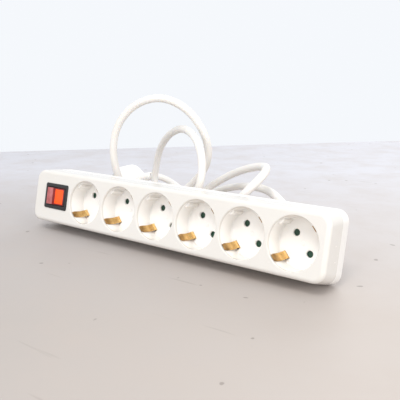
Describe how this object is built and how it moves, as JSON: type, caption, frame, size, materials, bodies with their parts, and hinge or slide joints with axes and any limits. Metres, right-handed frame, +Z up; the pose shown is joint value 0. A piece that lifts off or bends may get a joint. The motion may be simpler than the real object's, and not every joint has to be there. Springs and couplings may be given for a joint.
{
  "type": "power strip",
  "caption": "Long white mains extension strip with a row of earthed round sockets, a lit rocker switch at one end and a coiled white supply cord with its plug, leaning back on its rear edge.",
  "frame": {"origin": "on the ground under the middle of the case (cord left out)", "axes": "+X along the strip, away from the switch and the cord; +Y to the back, away from the sockets; +Z up"},
  "size_m": [0.3786, 0.1913, 0.1339],
  "materials": {
    "white_shell": "glossy",
    "white_insert": "glossy",
    "green_shutter": "satin",
    "spring_steel": "plain",
    "inner_plastic": "plain",
    "brass_contact": "bright",
    "black_bezel": "satin",
    "red_lens": "glossy, lit",
    "lamp_glass": "clear, orange glow",
    "screw_steel": "zinc plated",
    "cord_white": "satin",
    "relief_white": "satin",
    "brown_core": "satin",
    "blue_core": "satin",
    "green_yellow_core": "satin",
    "plug_white": "satin",
    "nickel_pin": "nickel plated",
    "earth_brass": "bright"
  },
  "bodies": {
    "strip": {"cover": "white_shell", "base": "white_shell", "socket_well_1": "white_insert", "socket_well_2": "white_insert", "socket_well_3": "white_insert", "socket_well_4": "white_insert", "socket_well_5": "white_insert", "socket_well_6": "white_insert", "shutter_springs": "spring_steel", "contact_carrier": "inner_plastic", "cord_clamp": "inner_plastic", "clamp_feet": "inner_plastic", "line_bar": "brass_contact", "neutral_bar": "brass_contact", "earth_bar": "brass_contact", "switch_blades": "brass_contact", "switch_housing": "black_bezel", "switch_lamp": "lamp_glass", "case_screws": "screw_steel", "clamp_screws": "screw_steel", "supply_cord": "cord_white", "cord_tail": "cord_white", "bend_relief": "relief_white", "plug_relief": "relief_white", "wire_line": "brown_core", "wire_switched": "brown_core", "wire_neutral": "blue_core", "wire_earth": "green_yellow_core", "plug_body": "plug_white", "plug_pins": "nickel_pin", "plug_earth_contacts": "earth_brass"},
    "shutter_1": {"shutter_1": "green_shutter"},
    "shutter_2": {"shutter_2": "green_shutter"},
    "shutter_3": {"shutter_3": "green_shutter"},
    "shutter_4": {"shutter_4": "green_shutter"},
    "shutter_5": {"shutter_5": "green_shutter"},
    "shutter_6": {"shutter_6": "green_shutter"},
    "rocker_body": {"rocker": "red_lens", "rocker_plunger": "spring_steel"},
    "bridge_body": {"switch_bridge": "brass_contact"}
  },
  "joints": [
    {"name": "shutter_turn_1", "type": "hinge", "parent": "strip", "child": "shutter_1", "pos_m": [-0.08625, 0.00123, 0.03061], "axis": [0, -0.9759, 0.2181], "range_deg": [0, 36], "stiffness_Nm_per_rad": 0.0006},
    {"name": "shutter_turn_2", "type": "hinge", "parent": "strip", "child": "shutter_2", "pos_m": [-0.04265, 0.00123, 0.03061], "axis": [0, -0.9759, 0.2181], "range_deg": [0, 36], "stiffness_Nm_per_rad": 0.0006},
    {"name": "shutter_turn_3", "type": "hinge", "parent": "strip", "child": "shutter_3", "pos_m": [0.00095, 0.00123, 0.03061], "axis": [0, -0.9759, 0.2181], "range_deg": [0, 36], "stiffness_Nm_per_rad": 0.0006},
    {"name": "shutter_turn_4", "type": "hinge", "parent": "strip", "child": "shutter_4", "pos_m": [0.04455, 0.00123, 0.03061], "axis": [0, -0.9759, 0.2181], "range_deg": [0, 36], "stiffness_Nm_per_rad": 0.0006},
    {"name": "shutter_turn_5", "type": "hinge", "parent": "strip", "child": "shutter_5", "pos_m": [0.08815, 0.00123, 0.03061], "axis": [0, -0.9759, 0.2181], "range_deg": [0, 36], "stiffness_Nm_per_rad": 0.0006},
    {"name": "shutter_turn_6", "type": "hinge", "parent": "strip", "child": "shutter_6", "pos_m": [0.13175, 0.00123, 0.03061], "axis": [0, -0.9759, 0.2181], "range_deg": [0, 36], "stiffness_Nm_per_rad": 0.0006},
    {"name": "rocker_tilt", "type": "hinge", "parent": "strip", "child": "rocker_body", "pos_m": [-0.12605, -0.01535, 0.03529], "axis": [0, -0.2181, -0.9759], "range_deg": [0, 16]},
    {"name": "bridge_tilt", "type": "hinge", "parent": "strip", "child": "bridge_body", "pos_m": [-0.12605, -0.00062, 0.032], "axis": [0, 0.2181, 0.9759], "range_deg": [0, 16.5]}
  ],
  "couplings": [
    {"joint": "bridge_tilt", "follows": "rocker_tilt", "ratio": 1}
  ]
}
